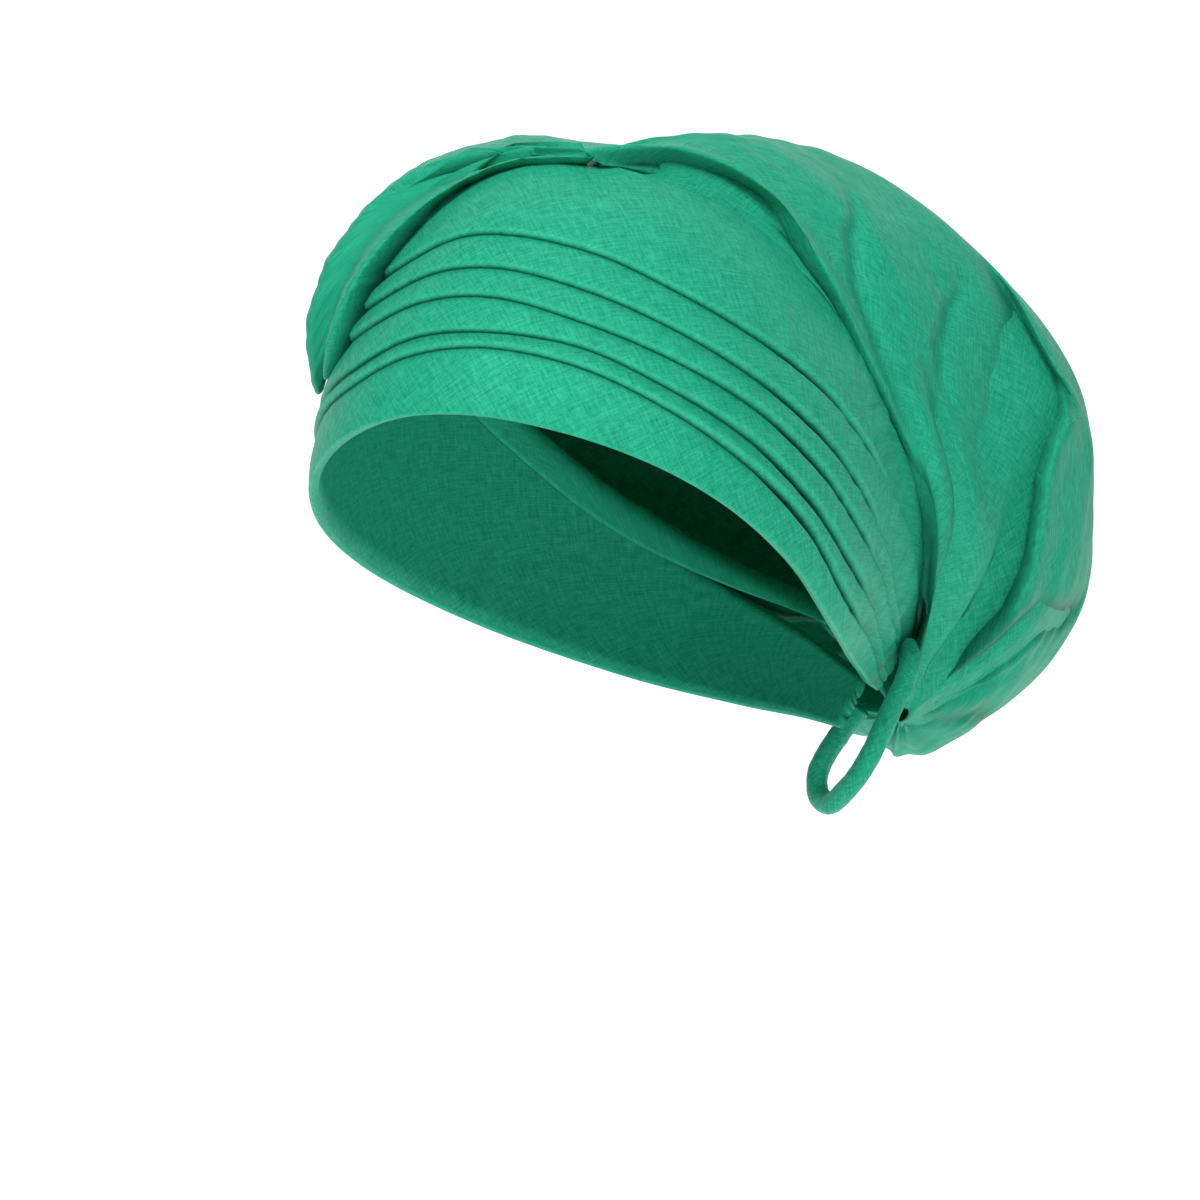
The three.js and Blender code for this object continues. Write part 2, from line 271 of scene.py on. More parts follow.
def turn_rows(on_top, size, apart):
    """Rows at one side of a pleat: mm from its line, height, and painted light (a painted highlight on the
    roll, painted shade below zero).
    """
    turned = np.linspace(0, 1, TURN_STEPS + 1)[None]
    a = np.pi * turned
    roll_x = TUCK_UNDER - OVERHANG * np.sin(a) * (1 - 0.25 * turned)
    roll_z = (ROLL - GROOVE) / 2 - (ROLL + GROOVE) / 2 * np.cos(a)
    soft_x = -TUCK_UNDER + SOFT_REACH * turned**1.4
    soft_z = -GROOVE * np.exp(-(soft_x + TUCK_UNDER) / SOFT_SIDE)
    x = size * (on_top * roll_x + (1 - on_top) * soft_x + TURN_APART * apart)
    z = size * (on_top * roll_z + (1 - on_top) * soft_z)
    # Painted highlight along the outside of the rolled fold.
    painted_light = smooth(turned, 0.55, 0.75) * (1 - smooth(turned, 0.8, 1.0))
    # Painted shade under the roll and beside the line on the soft side.
    painted_shade_under_roll = 1 - smooth(turned, 0.3, 0.75)
    painted_shade_soft_side = np.exp(-(((soft_x + TUCK_UNDER) / 1.7) ** 1.5))
    return x, z, on_top * (painted_light - painted_shade_under_roll) - (1 - on_top) * painted_shade_soft_side


across_parts, lift_parts, light_and_shade_parts = [], [], []
for k, steps in enumerate(STRIP_STEPS):
    width = widths[k]
    first, last = k == 0, k == len(STRIP_STEPS) - 1
    plain = (0 * share,) * 3
    low_x, low_z, low_painted_light = plain if first else turn_rows(upper_rolls, sizes[k - 1], both_roll)
    high_x, high_z, high_painted_light = plain if last else turn_rows(lower_rolls, sizes[k], both_roll)
    start, stop = low_x[:, -1:], width - high_x[:, -1:]
    q = (0.5 - 0.5 * np.cos(np.pi * np.linspace(0, 1, steps + 2)))[None, 1:-1]
    x = start + (stop - start) * q
    tilt = (x - start) / (stop - start)
    z = low_z[:, -1:] * (1 - tilt) ** 1.15 + high_z[:, -1:] * tilt**1.15
    z = z + PUFF * np.sin(np.pi * q) * np.minimum(width / 12, 1)
    places = [low_x, x, (width - high_x)[:, ::-1]]
    heights = [low_z, z, high_z[:, ::-1]]
    # Painted highlight and painted shade for each row of the strip.
    painted_light = [low_painted_light, 0 * x, high_painted_light[:, ::-1]]
    if not last:
        places[2], heights[2], painted_light[2] = places[2][:, :-1], heights[2][:, :-1], painted_light[2][:, :-1]
    across_parts.append(lines[k] + np.concatenate(places, 1) / band_width)
    lift_parts.append(np.concatenate(heights, 1))
    light_and_shade_parts.append(np.concatenate(painted_light, 1))
across = np.concatenate(across_parts, 1)
lift = np.concatenate(lift_parts, 1)
edge = np.concatenate(light_and_shade_parts, 1)
print("the band has", across.shape[1], "rows across")

# %% [markdown]
# ### Small creases
# Silk that is drawn round a curve puckers a little. A few seeded waves of different lengths are added
# up: they run along the pleats, and shorter ones cross them where the band is drawn in.

# %% Add the small creases, roll the hem and the top edge, and build the band
CREASE_WIDTH = 90
random = np.random.default_rng(7)


def waves(x, y, lengths, angle, spread, seed_count=7):
    """A seeded sum of waves over the cloth: x and y in mm, lengths as (shortest, longest)."""
    total = 0
    for _ in range(seed_count):
        a = angle + random.uniform(-spread, spread)
        wavelength = random.uniform(*lengths)
        phase = random.uniform(0, 2 * math.pi)
        total = total + np.sin(2 * math.pi * (x * math.cos(a) + y * math.sin(a)) / wavelength + phase)
    return total / math.sqrt(seed_count)


flat = band_point(share, across, 0.0)
band_along = steps_along(flat, 0)
crease_y = across * CREASE_WIDTH
pucker = waves(band_along, crease_y, (16, 60), math.radians(90), 0.35) * 0.16
drawn = 1 - smooth(share, 0.14, 0.36)
pucker = pucker + waves(band_along, crease_y, (7, 17), math.radians(0), 0.5) * 0.13 * (0.25 + drawn)
pucker = pucker * smooth(across, 0.0, 0.05)
top_crease = -0.35 * np.exp(-(((across - 0.86) * band_width) / 1.2) ** 2) * smooth(share, 0.22, 0.30)
lift = lift + pucker + top_crease * (1 - smooth(share, 0.54, 0.60))
roll_turn = np.linspace(0, math.pi, HEM_STEPS + 1)[:-1]
hem_across = -HEM_RADIUS * np.sin(roll_turn) / band_width
hem_lift = -HEM_RADIUS * (1 + np.cos(roll_turn)) + 0 * share + lift[:, :1]
top_across = 1 + HEM_RADIUS * np.sin(roll_turn)[::-1] / band_width
top_lift = -HEM_RADIUS * (1 + np.cos(roll_turn))[::-1] + lift[:, -1:]
all_across = np.concatenate([hem_across, across, top_across], 1)
all_lift = np.concatenate([hem_lift, lift, top_lift], 1)
band_outer = band_point(share, all_across, all_lift)
blank = np.zeros((BAND_STEPS + 1, HEM_STEPS))
# Painted highlight along the rolled hem and the rolled top edge.
band_painted_light = np.concatenate([blank + 0.6, edge, blank + 0.4], 1)
# Painted shade over the band's end, where it goes into the gather.
band_painted_light = band_painted_light - 0.9 * (1 - smooth(share, 0.015, 0.075)) * smooth(all_across, 0.15, 0.6)
inner_share = np.linspace(0, 1, BAND_STEPS // 4 + 1)[:, None]
inner_across = np.linspace(0.0, 1.0, 13)[None]
band_inner = band_point(inner_share, inner_across, INNER_LIFT + 0 * inner_share)
print("band outer grid", band_outer.shape, "inner grid", band_inner.shape)


def cloth_places(points, middle_i, middle_j):
    """Where each point of a grid lies on its cloth, in metres, measured from the grid's middle."""
    u, v = steps_along(points, 0), steps_along(points, 1)
    u = u - u[middle_i]
    v = v - v[:, middle_j : middle_j + 1]
    return np.stack([u, v], -1).reshape(-1, 2) * MM


band_points, band_faces = shell(band_outer, band_inner)
band_cloth = np.concatenate([cloth_places(band_outer, 250, 60), cloth_places(band_inner, 62, 6)])
# Painted light on the outer skin only; the inner skin gets none.
band_light_and_shade = np.concatenate([band_painted_light.ravel(), np.zeros(band_inner.shape[0] * band_inner.shape[1])])
band = cloth_object("band_cloth", band_points, band_faces, band_cloth, band_light_and_shade)

# %% [markdown]
# ## The crown
# The crown is a wide bag of silk. It starts in a crossing of folds on top of the head, swells out at
# the back, and is gathered behind the left ear. It is described here as a fan of runs, each from the
# crossing to the gather. Where the crown laps over the band on the left, close runs make a thin strip,
# a deep groove and a rolled fold.
#
# A note on the numbers: the points of LEFT_FOLDS came out of a separate fitting program and were
# rounded, and only four of them were moved by hand. They don't follow from the head's sizes, so they
# aren't a pattern to copy. The other tables were set by hand with such a program's output beside them.

# %% The runs of the crown
CROSSING = np.array([12, -16, 127.5])
GATHER = np.array([65, 94, -57.0])
DRAWN_IN = 0.06
TUCKED = -7
UNDER = -3.5
LEFT_FOLDS = {
    "strip": [[19, -25, 123.5], [31, 4, 119], [51, 21, 105], [69, 28, 83], [74, 44, 58], [77, 62, 33],
              [77, 79, 8], [73, 93, -19], [65, 95, -49]],
    "groove": [[18, -27, 124.5], [29, 3, 125], [48, 26, 115], [65, 31, 89], [72, 47, 62], [77, 65, 37],
               [79, 83, 11], [76, 95, -18], [66, 95, -48]],
    "overlap": [[16, -31, 127.5], [33, 0, 128], [54, 20, 114], [71, 25, 88], [78, 41, 61], [82, 59, 35],
                [84, 78, 9], [79, 90, -20], [67, 95, -48]],
}
GORES = {
    "ridge": [[34, 14, 128], [61, 35, 103], [79, 50, 59], [89, 72, 8]],
    "soft": [[36, 40, 131], [69, 60, 102], [86, 69, 55], [96, 80, 8]],
    "panel": [[36, 62, 130], [73, 86, 99], [94, 94, 45], [98, 99, -3]],
    "valley": [[38, 82, 128], [78, 114, 96], [103, 122, 48], [96, 109, 3]],
    "roll": [[38, 98, 123], [84, 142, 80], [109, 146, 34], [101, 123, -8]],
    "hook": [[34, 106, 121], [83, 157, 73], [105, 158, 14], [100, 130, -28]],
    "near edge": [[28, 112, 120], [77, 168, 67], [102, 166, -5], [89, 139, -45]],
    "far lobe": [[20, 114, 120], [60, 179, 63], [92, 182, -21], [66, 146, -68]],
    "back": [[8, 110, 120], [25, 184, 64], [45, 184, -34], [46, 138, -74]],
    "back right": [[-10, 95, 122], [-35, 165, 67], [-10, 175, -30], [30, 138, -68]],
    "right back": [[-30, 60, 125], [-84, 120, 69], [-60, 145, -15], [10, 132, -62]],
    "right": [[-50, 22, 127], [-101, 50, 74], [-90, 105, 0], [-10, 128, -55]],
    "contour": [[-56, -9, 122], [-97, 4, 78], [-94, 75, 5], [-20, 120, -49]],
}
RIGHT_FOLDS = {
    # name: points over the top and round the right of the brow, then mm past the band's edge, and lift
    "right fold": (
        [[11, -26, 128.5], [-23, -19, 128], [-46, -33, 119], [-62, -45, 99], [-67, -53, 78],
         [-69, -50, 60], [-74, -38, 45]], -18, 17,
    ),
    "right hollow": (
        [[14, -27, 127], [-14, -20, 125], [-34, -27, 119], [-46, -42, 107], [-56, -50, 90],
         [-61, -53, 72], [-64, -50, 55]], -24, 10,
    ),
    "right ridge": (
        [[18, -29, 126], [-6, -34, 125], [-22, -42, 118], [-34, -55, 106], [-44, -64, 90],
         [-52, -66, 72], [-59, -61, 53]], -30, 11,
    ),
    "right groove": (
        [[13, -24, 124], [-13, -22, 120], [-30, -27, 114], [-33, -44, 105], [-42, -55, 89],
         [-49, -61, 71], [-56, -57, 54]], -27, 3.5,
    ),
}
SEEN_REACH = 0.33
LEFT_SINK = 3.5
CROWN_STEPS = 176
EDGE_REACH, EDGE_BOW, EDGE_CLEAR = 0.86, 6, 8
CROSSING_AT = 0.49
RIGHT_LEAVES_AT = 0.955


def edge_run(end_share, past, lift, t):
    """The crown's own edge follows the band's top edge to its end, and then turns to the gather."""
    share = CROSSING_AT + (end_share - CROSSING_AT) * np.minimum(t / EDGE_REACH, 1)
    width = np.linalg.norm(band_point(share, 0.0, 0.0) - band_point(share, 1.0, 0.0), axis=-1)
    rise = smooth(t, 0.7 * EDGE_REACH, EDGE_REACH)
    beyond = past + max(0, EDGE_CLEAR - past) * rise
    point = band_point(share, 1 + beyond / width, lift + 0 * t)
    turned = np.maximum(0, (t - EDGE_REACH) / (1 - EDGE_REACH))
    point = point + (GATHER - point) * (turned * (1 - DRAWN_IN))[:, None]
    point[:, 1] += EDGE_BOW * np.sin(np.pi * np.sqrt(turned))
    return point


def gore_run(run, t):
    run = np.array(run, float)
    first = CROSSING + (run[0] - CROSSING) * DRAWN_IN
    last = GATHER + (run[-1] - GATHER) * DRAWN_IN
    return along_rows([first, *run, last], t)


def right_run(seen, past, lift, t):
    """A fold that follows its points over the top, and then keeps to the band's top edge."""
    near = along_rows(seen, t / SEEN_REACH)
    far = edge_run(RIGHT_LEAVES_AT, past, lift, t)
    blend = smooth(t, SEEN_REACH - 0.05, SEEN_REACH + 0.14)[:, None]
    return near * (1 - blend) + far * blend


t = np.linspace(0, 1, CROWN_STEPS + 1)
runs = {
    "left tuck": edge_run(0, TUCKED, UNDER, t),
    "left under": edge_run(0, 1, UNDER, t),
    **{name: along_rows(run, t) for name, run in LEFT_FOLDS.items()},
    **{name: gore_run(run, t) for name, run in GORES.items()},
    **{name: right_run(*run, t) for name, run in RIGHT_FOLDS.items()},
    "right turn": edge_run(RIGHT_LEAVES_AT, 6, 2.5, t),
    "right under": edge_run(RIGHT_LEAVES_AT, 6, UNDER, t),
    "right tuck": edge_run(RIGHT_LEAVES_AT, TUCKED, UNDER, t),
}
run_names = list(runs)
sunk = runs["groove"] / HEAD**2
sunk /= np.linalg.norm(sunk, axis=1, keepdims=True)
runs["groove"] = runs["groove"] - sunk * LEFT_SINK * np.sin(np.pi * t)[:, None] ** 0.5
print(len(runs), "runs:", ", ".join(run_names))

# %% [markdown]
# ### From runs to a skin
# The runs are far apart at the back and close together at the folds. A curve that weighs each slope by
# the gap beside it doesn't overshoot where a wide gap meets a narrow one.


# %% Blend across the runs
def across_runs(rows, place):
    """rows is (runs, steps, 3). place counts runs, so 2.5 is halfway from run 2 to run 3."""
    rows = np.asarray(rows, float)
    gap = np.linalg.norm(np.diff(rows, axis=0), axis=-1)[..., None] + 0.3
    slope = np.diff(rows, axis=0) / gap
    inner = (gap[1:] * slope[:-1] + gap[:-1] * slope[1:]) / (gap[1:] + gap[:-1])
    tangent = np.concatenate([slope[:1], inner, slope[-1:]])
    i = np.minimum(place.astype(int), len(rows) - 2)
    f = (place - i)[:, None, None]
    start = (2 * f**3 - 3 * f**2 + 1) * rows[i] + (f**3 - 2 * f**2 + f) * gap[i] * tangent[i]
    end = (3 * f**2 - 2 * f**3) * rows[i + 1] + (f**3 - f**2) * gap[i] * tangent[i + 1]
    return start + end


STEPS_AFTER = {
    "left tuck": 3, "left under": 12, "strip": 16, "groove": 12, "overlap": 18, "ridge": 24,
    "soft": 24, "panel": 26, "valley": 30, "roll": 30, "hook": 30, "near edge": 24, "far lobe": 20,
    "back": 20, "back right": 20, "right back": 20, "right": 22, "contour": 24, "right fold": 20,
    "right hollow": 18, "right ridge": 14, "right groove": 12, "right turn": 8, "right under": 4,
}
place = np.concatenate(
    [k + np.arange(n) / n for k, n in enumerate(STEPS_AFTER.values())] + [[len(runs) - 1.0]]
)
crown_base = across_runs(list(runs.values()), place)
crown_arc = steps_along(crown_base, 0)
crown_normal = -grid_normals(crown_base)
print("crown grid", crown_base.shape)

# %% [markdown]
# ### Folds
# A fold is a line over the skin, given by the run it lies on at a few places between the crossing and
# the gather, and its depth fades out at both ends. Each fold is a valley with a roll of cloth after it.
# A valley may be wide on one side and narrow on the other, as where cloth starts to turn over on
# itself. Shallow folds go straight in. Deep ones are pushed away from the front, as the hand that
# arranged the wrap pushed them.

# %% The folds of the crown
FOLDS = [
    # way it is pushed, (t, run) along its line, mm before and after it, depth, roll beside it, fade,
    # painted shade
    ("out", [(0.31, 6.6), (0.41, 5.7), (0.49, 5.33), (0.59, 5.2), (0.67, 5.15)],
     4.5, 4.5, 2.6, 0.2, 0.10, 0.2),
    ("out", [(0.46, 7.4), (0.49, 6.94), (0.54, 6.5), (0.60, 6.3)], 5.0, 5.0, 2.8, 0.3, 0.06, 0.2),
    ("out", [(0.60, 6.1), (0.72, 5.9), (0.84, 5.7), (0.94, 5.6)], 5.0, 5.0, 3.5, 0.3, 0.08, 0.4),
    ("away", [(0.44, 8.2), (0.47, 8.15), (0.52, 8.06), (0.55, 8.15), (0.58, 8.5)],
     12.0, 4.0, 7.0, 0.5, 0.05, 0.6),
    ("away", [(0.57, 8.1), (0.62, 8.0), (0.67, 7.75), (0.72, 7.7), (0.77, 8.0), (0.81, 8.3), (0.86, 8.5),
              (0.94, 8.0)],
     25.0, 7.0, 26.0, 0.3, 0.09, 1.3),
    ("away", [(0.66, 11.3), (0.72, 10.8), (0.81, 9.9), (0.86, 9.8), (0.92, 10.0), (0.97, 11.0)],
     7.0, 12.0, 13.0, 0.25, 0.06, 0.9),
    ("away", [(0.70, 12.6), (0.78, 11.9), (0.86, 11.4), (0.93, 11.6)], 6.0, 8.0, 7.0, 0.2, 0.07, 0.5),
]
AWAY = np.array([-sin_a, cos_a, 0.0])


def fold_profile(x, before, after, depth, roll):
    """Height beside a fold's line, at x mm from it: a valley, and the roll of cloth after it."""
    reach = np.where(x < 0, before, after)
    beside = 0.65 * (before + after) / 2
    return depth * (roll * np.exp(-(((x - beside) / (0.8 * beside)) ** 2)) - np.exp(-((x / reach) ** 2)))


crown_lift = np.zeros(crown_base.shape[:2])
crown_push = np.zeros(crown_base.shape[:2])
crown_painted_shade = np.zeros(crown_base.shape[:2])
for way, line, before, after, depth, roll, fade, shade in FOLDS:
    ts, gs = np.array(line).T
    g = np.interp(t, ts, gs)
    centre = np.array([np.interp(g[j], place, crown_arc[:, j]) for j in range(len(t))])
    x = crown_arc - centre
    strength = smooth(t, ts[0] - fade, ts[0] + fade) * (1 - smooth(t, ts[-1] - fade, ts[-1] + fade))
    pushed = fold_profile(x, before, after, depth, roll) * strength
    if way == "away":
        crown_push += pushed
    else:
        crown_lift += pushed
    # Painted shade in and beside each fold's valley, as strong as its last column.
    crown_painted_shade -= shade * strength * np.exp(-(((x + 0.3 * before) / (0.4 * (before + after))) ** 2))
girth = crown_arc[-1]
# Painted shade along the left groove and the right groove.
for at, spread in ((2.75, 0.42), (run_names.index("right groove"), 0.5)):
    crown_painted_shade -= 0.9 * np.exp(-(((place - at) / spread) ** 2))[:, None] * smooth(t, 0.02, 0.08)
# Painted shade in the hollow at the gather, beside the left folds.
crown_painted_shade -= 0.9 * smooth(t, 0.78, 0.93) * (1 - smooth(place, 4.0, 5.6)[:, None])
uneven = place + 0.3 * np.sin(1.9 * place)
crossing_folds = np.sin(2 * np.pi * uneven / 1.7)[:, None] * smooth(t, 0.01, 0.05)
crossing_folds = crossing_folds * (1 - smooth(t, 0.08, 0.24)) * 1.1
gather_folds = np.sin(2 * np.pi * uneven / 0.8)[:, None] * smooth(t, 0.74, 0.93)
gather_folds = gather_folds * (1 - smooth(t, 0.96, 1.0)) * 1.2
only_back = smooth(place, 4.5, 6) * (1 - smooth(place, 15.5, 17))
crown_lift += (crossing_folds + gather_folds) * only_back[:, None]
crumple = waves(crown_arc, steps_along(crown_base, 1), (18, 70), 0.0, 1.2, 9) * 0.28
crown_lift += crumple * smooth(girth, 60, 200)
free = smooth(place, 1.0, 2.0) * (1 - smooth(place, len(runs) - 4.0, len(runs) - 3.0))
crown_lift *= free[:, None]
crown_outer = crown_base + crown_normal * crown_lift[..., None] - AWAY * crown_push[..., None]
# The inner skin doesn't follow the folds, so it crosses the deep ones and hides their bottoms.
folded = (
    "strip", "groove", "overlap", "left under",
    "right hollow", "right ridge", "right groove", "right turn",
)
inner_names = [n for n in run_names if n not in folded]
inner_place = np.linspace(0, len(inner_names) - 1, 6 * (len(inner_names) - 1) + 1)
inner_rows = [runs[n][::4] for n in inner_names]
crown_inner = across_runs(inner_rows, inner_place)
crown_inner = crown_inner + grid_normals(crown_inner) * 3.0 * smooth(girth[::4], 30, 160)[None, :, None]
crown_points, crown_faces = shell(crown_outer, crown_inner)
crown_faces = [face[::-1] for face in crown_faces]
crown_cloth = np.concatenate([cloth_places(crown_outer, 110, 88), cloth_places(crown_inner, 30, 22)])
crown_painted_shade = np.concatenate([crown_painted_shade.ravel(), np.zeros(len(crown_points) - crown_painted_shade.size)])
crown = cloth_object("crown_cloth", crown_points, crown_faces, crown_cloth, crown_painted_shade)

# %% [markdown]
# ## The loop
# A rouleau is a thin tube of the same silk, turned right side out and sewn along its length. It hangs
# from the gather as a loop. It is a limp cord, so it hangs down and closes on itself at the bottom.

# %% The loop's route and its tube
LOOP_ROUTE = [
    [69.5, 90.0, -33.0],
    [74.0, 81.0, -37.0], [73.5, 78.0, -43.0], [71.0, 74.0, -51.0], [68.0, 71.0, -60.0],
    [63.0, 70.0, -70.0], [56.0, 72.0, -78.0], [48.0, 77.0, -83.5], [41.0, 83.0, -82.0],
    [39.0, 87.0, -75.0], [42.5, 89.0, -67.0], [47.0, 91.0, -60.0], [51.5, 92.5, -54.0],
]
LOOP_DIAMETER = 7.5
LOOP_RINGS, LOOP_SIDES = 150, 26
loop_line = along_rows(LOOP_ROUTE, np.linspace(0, 1, LOOP_RINGS + 1))
loop_length = float(np.linalg.norm(np.diff(loop_line, axis=0), axis=-1).sum())
tangent = np.gradient(loop_line, axis=0)
tangent /= np.linalg.norm(tangent, axis=1, keepdims=True)
middle = loop_line.mean(0)
inward = middle - loop_line
inward -= (inward * tangent).sum(1, keepdims=True) * tangent
inward /= np.linalg.norm(inward, axis=1, keepdims=True)
sideways = np.cross(tangent, inward)
around = np.linspace(0, 2 * math.pi, LOOP_SIDES, endpoint=False)[None]
run_mm = np.linspace(0, loop_length, LOOP_RINGS + 1)[:, None]
seam = 0.28 * np.exp(-((np.angle(np.exp(1j * around)) / 0.22) ** 2))
wrinkle = waves(run_mm, around * 3.7, (3.0, 9.0), 0.3, 0.7, 6) * 0.09
radius = LOOP_DIAMETER / 2 * (0.97 + 0.03 * np.cos(2 * around)) + seam + wrinkle - 0.1
ring = inward[:, None] * np.cos(around)[..., None] + sideways[:, None] * np.sin(around)[..., None]
loop_grid = loop_line[:, None] + ring * radius[..., None]
points = np.concatenate([loop_grid.reshape(-1, 3), loop_line[:1], loop_line[-1:]])
index = np.arange((LOOP_RINGS + 1) * LOOP_SIDES).reshape(-1, LOOP_SIDES)
after = np.roll(index, -1, 1)
faces = np.stack([index[:-1], after[:-1], after[1:], index[1:]], -1).reshape(-1, 4).tolist()
faces += [[len(points) - 2, b, a] for a, b in zip(index[0], after[0])]
faces += [[len(points) - 1, a, b] for a, b in zip(index[-1], after[-1])]
girth_mm = around * LOOP_DIAMETER / 2 + 0 * run_mm
loop_uv = np.stack([np.broadcast_to(run_mm, radius.shape), girth_mm], -1).reshape(-1, 2) * MM
loop_uv = np.concatenate([loop_uv, [[0, 0], [loop_length * MM, 0]]])
loop = cloth_object("loop_rouleau", points, faces, loop_uv, np.zeros(len(points)))
print("the loop is", round(loop_length, 1), "mm long")

# %% [markdown]
# ### Hand stitches
# The tube is closed by small slanting stitches along its inner side. Each one is a short bent thread
# that goes over the seam and sinks in at both ends.

# %% Stitches along the loop's seam
STITCH_SPACING, STITCH_HALF, THREAD = 2.6, 0.9, 0.17
STITCH_MARGIN = 8
STITCH_RINGS, STITCH_SIDES = 7, 6
stitch_points, stitch_faces = [], []
for along in np.arange(STITCH_MARGIN, loop_length - STITCH_MARGIN, STITCH_SPACING):
    k = along / loop_length * LOOP_RINGS
    i = int(k)
    centre = loop_line[i] + inward[i] * (LOOP_DIAMETER / 2 + 0.05)
    slant = sideways[i] * 0.8 + tangent[i] * 0.6
    across_thread = np.cross(slant, inward[i])
    start = len(stitch_points)
    for s in np.linspace(-1, 1, STITCH_RINGS):
        bow = inward[i] * (0.22 - 0.6 * s * s)
        spine = centre + slant * STITCH_HALF * s + bow
        thick = THREAD * math.sqrt(max(0.05, 1 - (0.9 * s) ** 2))
        for a in np.linspace(0, 2 * math.pi, STITCH_SIDES, endpoint=False):
            stitch_points.append(spine + (across_thread * math.cos(a) + inward[i] * math.sin(a)) * thick)
    for r in range(STITCH_RINGS - 1):
        for c in range(STITCH_SIDES):
            a = start + r * STITCH_SIDES + c
            b = start + r * STITCH_SIDES + (c + 1) % STITCH_SIDES
            stitch_faces.append([a, b, b + STITCH_SIDES, a + STITCH_SIDES])
    last_ring = start + (STITCH_RINGS - 1) * STITCH_SIDES
    stitch_faces.append([start + c for c in reversed(range(STITCH_SIDES))])
    stitch_faces.append([last_ring + c for c in range(STITCH_SIDES)])
stitch_count = len(stitch_points)
stitches = cloth_object(
    "loop_stitches", stitch_points, stitch_faces, np.zeros((stitch_count, 2)), np.zeros(stitch_count)
)

# %% [markdown]
# ## The silk
# Dupion silk has a soft sheen, and its threads are uneven, so thin slubs run along both directions of
# the weave. Two stretched noises stand for the two sets of threads. They change the colour a little
# and lift the surface a little. The rolled edges of the folds get a painted highlight, and the grooves and
# hollows get painted shade.


# %% Node helpers and the silk material
def add_node(tree, kind, inputs=None, **settings):
    node = tree.nodes.new(kind)
    for name, value in settings.items():
        setattr(node, name, value)
    for name, value in (inputs or {}).items():
        if isinstance(value, bpy.types.NodeSocket):
            tree.links.new(value, node.inputs[name])
        else:
            node.inputs[name].default_value = value
    return node


def linear(red, green, blue):
    return (*(((c / 255 + 0.055) / 1.055) ** 2.4 for c in (red, green, blue)), 1)


def silk(name, turn_degrees):
    material = bpy.data.materials.new(name)
    material.use_nodes = True
    tree = material.node_tree
    shader = tree.nodes["Principled BSDF"]
    place_node = add_node(tree, "ShaderNodeUVMap", uv_map="cloth")
    turned = add_node(
        tree, "ShaderNodeMapping",
        {"Vector": place_node.outputs[0], "Rotation": (0, 0, math.radians(turn_degrees))},
    )

    def threads(along, between, detail):
        stretched = add_node(
            tree, "ShaderNodeMapping", {"Vector": turned.outputs[0], "Scale": (along, between, 1)}
        )
        noise = add_node(
            tree, "ShaderNodeTexNoise",
            {"Vector": stretched.outputs[0], "Scale": 1.0, "Detail": detail, "Roughness": 0.6},
        )
        return noise.outputs["Fac"]

    def math_node(operation, a, b):
        return add_node(tree, "ShaderNodeMath", {0: a, 1: b}, operation=operation).outputs[0]

    warp = threads(120, 1300, 3)
    weft = threads(1300, 120, 3)
    fine_warp = threads(500, 3600, 1)
    fine_weft = threads(3600, 500, 1)
    slubs = math_node("ADD", warp, weft)
    weave = math_node("ADD", fine_warp, fine_weft)
    both = math_node("ADD", math_node("MULTIPLY", slubs, 0.62), math_node("MULTIPLY", weave, 0.38))
    tone = add_node(tree, "ShaderNodeMapRange", {"Value": both, "From Min": 0.80, "From Max": 1.20})
    woven = add_node(
        tree, "ShaderNodeMix",
        {"Factor": tone.outputs[0], "A": linear(14, 124, 93), "B": linear(44, 163, 130)},
        data_type="RGBA",
    )
    # The edge value carries painted light: above zero it mixes in a painted highlight colour, below zero a
    # painted shade colour.
    painted_light_value = add_node(tree, "ShaderNodeAttribute", attribute_name="edge")
    painted_highlight_amount = add_node(
        tree, "ShaderNodeMapRange", {"Value": painted_light_value.outputs["Fac"], "From Max": 1.0, "To Max": 0.22}
    )
    shade_amount = add_node(
        tree, "ShaderNodeMapRange",
        {"Value": painted_light_value.outputs["Fac"], "From Min": 0.0, "From Max": -1.0, "To Min": 0.0,
         "To Max": 0.85},
    )
    # Painted highlight: a lighter green on the rolled edges.
    painted_highlight_mix = add_node(
        tree, "ShaderNodeMix",
        {"Factor": painted_highlight_amount.outputs[0], "A": woven.outputs["Result"], "B": linear(80, 205, 165)},
        data_type="RGBA",
    )
    # Painted shade: a near-black green in the grooves and hollows.
    shaded = add_node(
        tree, "ShaderNodeMix",
        {"Factor": shade_amount.outputs[0], "A": painted_highlight_mix.outputs["Result"], "B": linear(4, 34, 25)},
        data_type="RGBA",
    )
    tree.links.new(shaded.outputs["Result"], shader.inputs["Base Color"])
    shine = add_node(
        tree, "ShaderNodeMapRange",
        {"Value": slubs, "From Min": 0.7, "From Max": 1.3, "To Min": 0.56, "To Max": 0.42},
    )
    tree.links.new(shine.outputs[0], shader.inputs["Roughness"])
    shader.inputs["Specular IOR Level"].default_value = 0.22
    shader.inputs["Specular Tint"].default_value = linear(110, 255, 215)
    shader.inputs["Sheen Weight"].default_value = 0.04
    shader.inputs["Sheen Roughness"].default_value = 0.4
    shader.inputs["Sheen Tint"].default_value = linear(80, 225, 185)
    bump = add_node(tree, "ShaderNodeBump", {"Height": both, "Strength": 0.5, "Distance": 0.00022})
    tree.links.new(bump.outputs[0], shader.inputs["Normal"])
    return material


band_silk = silk("silk on the bias", 40)
crown_silk = silk("silk crown", -26)
loop_silk = silk("silk rouleau", 45)
thread_material = silk("sewing thread", 0)
for piece, material in (
    (band, band_silk), (crown, crown_silk), (loop, loop_silk), (stitches, thread_material),
):
    piece.data.materials.append(material)
print("materials:", [m.name for m in bpy.data.materials if m.users])

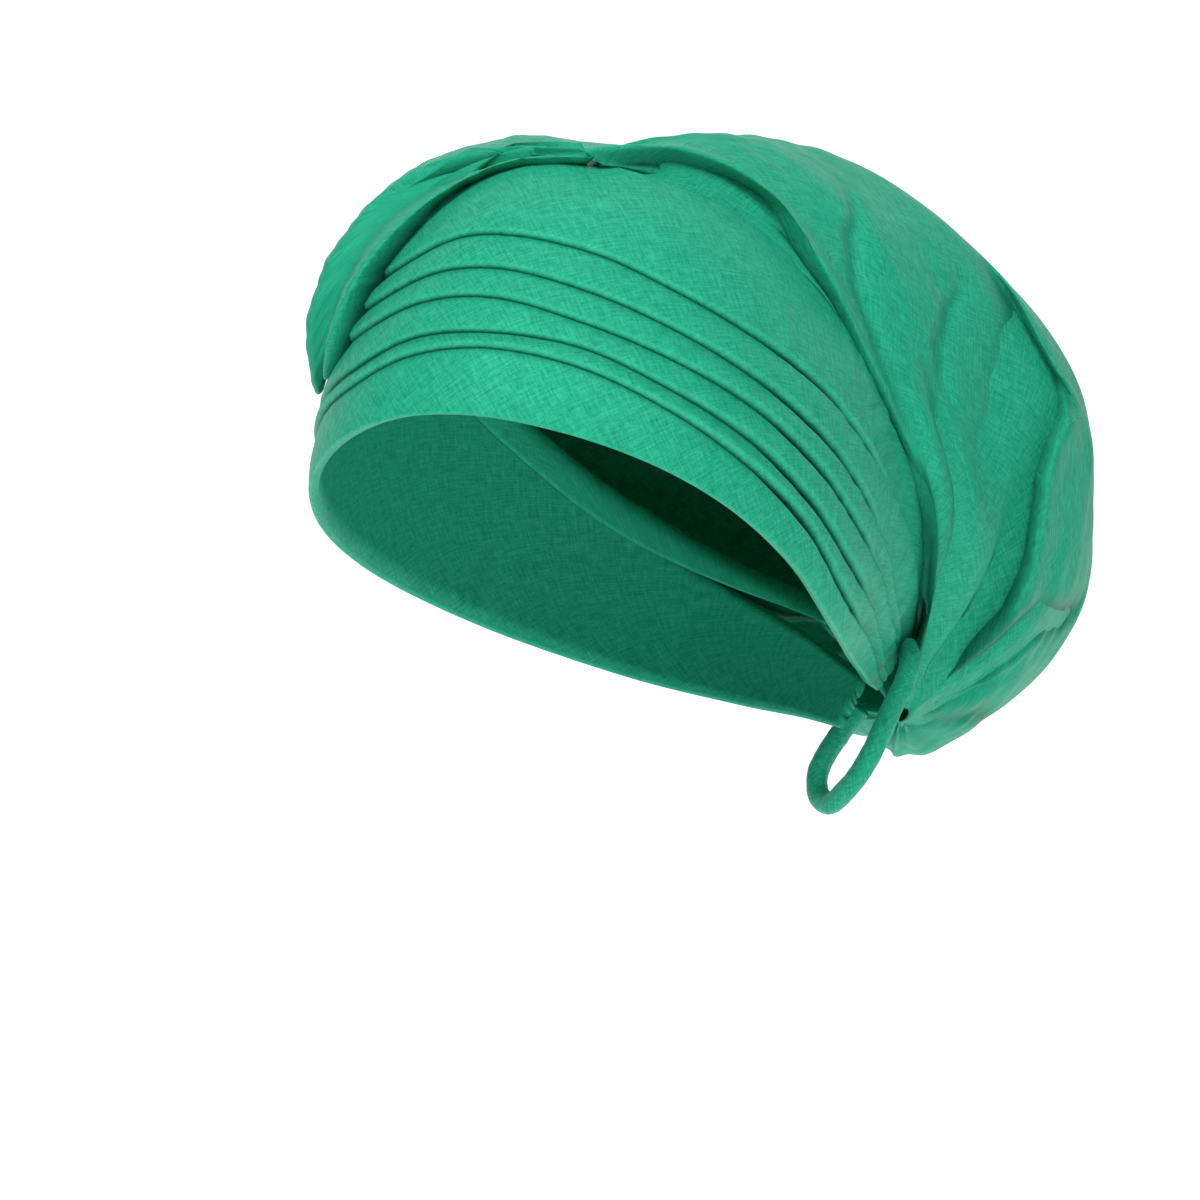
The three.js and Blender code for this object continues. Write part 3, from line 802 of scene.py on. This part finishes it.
# %% [markdown]
# ## Each piece in place of its plain part
# Each piece replaces the plain part of the imported model that it stands for, and is attached to
# the model's root.

# %% Hide the plain parts and attach the pieces
for piece, node in ((band, "pleated_band"), (crown, "crown_bag"), (loop, "loop")):
    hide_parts(node)
for piece in (band, crown, loop, stitches):
    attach(piece, "root")

# %% [markdown]
# ## Floor and light
# The wrap is held up as a head would hold it, so the pale floor is well below it. The floor curves up
# behind, as a roll of studio paper does, so that no horizon shows. Large soft lights keep the folds
# readable without hard shadows.

# %% Studio floor
FLOOR_Z = -0.34
SWEEP_RADIUS, SWEEP_STEPS = 1.2, 12
sweep = [(-4.0, 0.0), (SWEEP_RADIUS, 0.0)]
for k in range(1, SWEEP_STEPS + 1):
    a = math.radians(90 * k / SWEEP_STEPS)
    sweep.append((SWEEP_RADIUS + SWEEP_RADIUS * math.sin(a), SWEEP_RADIUS - SWEEP_RADIUS * math.cos(a)))
sweep.append((2 * SWEEP_RADIUS, 4.0))
away = Vector((-sin_a, cos_a, 0))
floor_points = []
for distance, height in sweep:
    for side in (-4.0, 4.0):
        point = away * distance + right * side
        floor_points.append((point.x, point.y, FLOOR_Z + height))
floor_faces = [(2 * k, 2 * k + 1, 2 * k + 3, 2 * k + 2) for k in range(len(sweep) - 1)]
floor_mesh = bpy.data.meshes.new("studio_paper")
floor_mesh.from_pydata(floor_points, [], floor_faces)
floor_mesh.polygons.foreach_set("use_smooth", [True] * len(floor_faces))
floor = bpy.data.objects.new("studio_paper", floor_mesh)
bpy.context.scene.collection.objects.link(floor)
paper = bpy.data.materials.new("pale paper")
paper.use_nodes = True
paper_shader = paper.node_tree.nodes["Principled BSDF"]
paper_shader.inputs["Base Color"].default_value = (0.9, 0.9, 0.9, 1)
paper_shader.inputs["Roughness"].default_value = 0.9
paper_shader.inputs["Emission Color"].default_value = (1, 1, 1, 1)
paper_shader.inputs["Emission Strength"].default_value = 0.5
floor.data.materials.append(paper)


# %% Lights
def softbox(name, toward, distance, size, power):
    """A square lamp that looks at the wrap from a direction given as right, up and back shares."""
    direction = (right * toward[0] + Vector((0, 0, 1)) * toward[1] + back * toward[2]).normalized()
    data = bpy.data.lights.new(name, "AREA")
    data.shape = "SQUARE"
    data.size = size
    data.energy = power
    lamp = bpy.data.objects.new(name, data)
    bpy.context.scene.collection.objects.link(lamp)
    place = Vector((0, 0.03, 0)) + direction * distance
    lamp.matrix_world = Matrix.Translation(place) @ direction.to_track_quat("Z", "Y").to_matrix().to_4x4()
    return lamp


softbox("key", (-0.45, 0.85, 0.85), 1.7, 0.7, 24)
softbox("fill", (0.60, 0.70, 1.0), 1.9, 0.8, 18)
softbox("overhead", (0.1, 1.0, -0.1), 1.8, 1.0, 6)
world = bpy.data.worlds.new("studio")
bpy.context.scene.world = world
world.use_nodes = True
world.node_tree.nodes["Background"].inputs["Color"].default_value = (1, 1, 1, 1)
world.node_tree.nodes["Background"].inputs["Strength"].default_value = 0.08
bpy.context.scene.view_settings.view_transform = "Standard"
